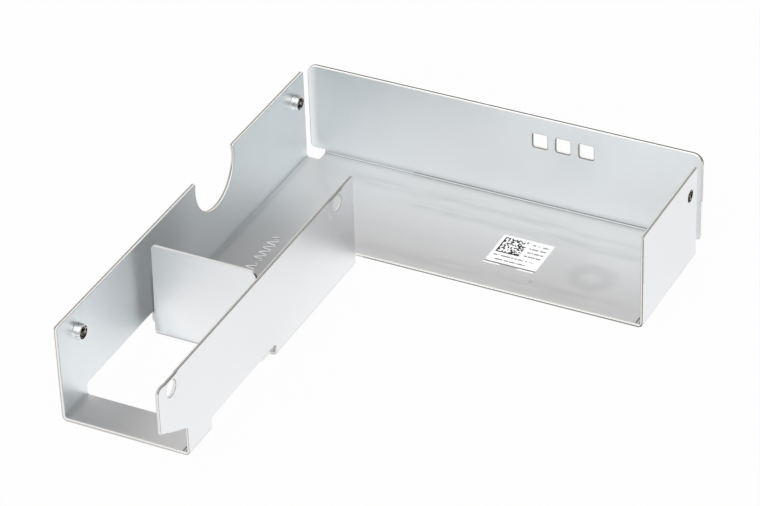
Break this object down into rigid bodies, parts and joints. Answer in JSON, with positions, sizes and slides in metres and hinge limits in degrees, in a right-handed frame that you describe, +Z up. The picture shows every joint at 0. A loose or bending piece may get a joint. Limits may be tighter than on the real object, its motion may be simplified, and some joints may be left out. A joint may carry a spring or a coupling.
{
  "type": "drive bay adapter bracket",
  "caption": "L-shaped folded sheet-steel bracket that holds a small drive in a full-size drive bay, with tapped collars for the bay's side screws.",
  "frame": {"origin": "centre of the bounding box's footprint, on the underside of the floor", "axes": "+X across the bay from the channel towards the tray's side wall, +Y along the channel towards the back wall, +Z up out of the floor towards the open side"},
  "size_m": [0.1016, 0.1298, 0.0246],
  "materials": {
    "zinc_sheet": "satin zinc plate",
    "label_paper": "smooth white label paper"
  },
  "bodies": {
    "root": {"folded_bracket": "zinc_sheet", "label": "label_paper"}
  },
  "joints": []
}
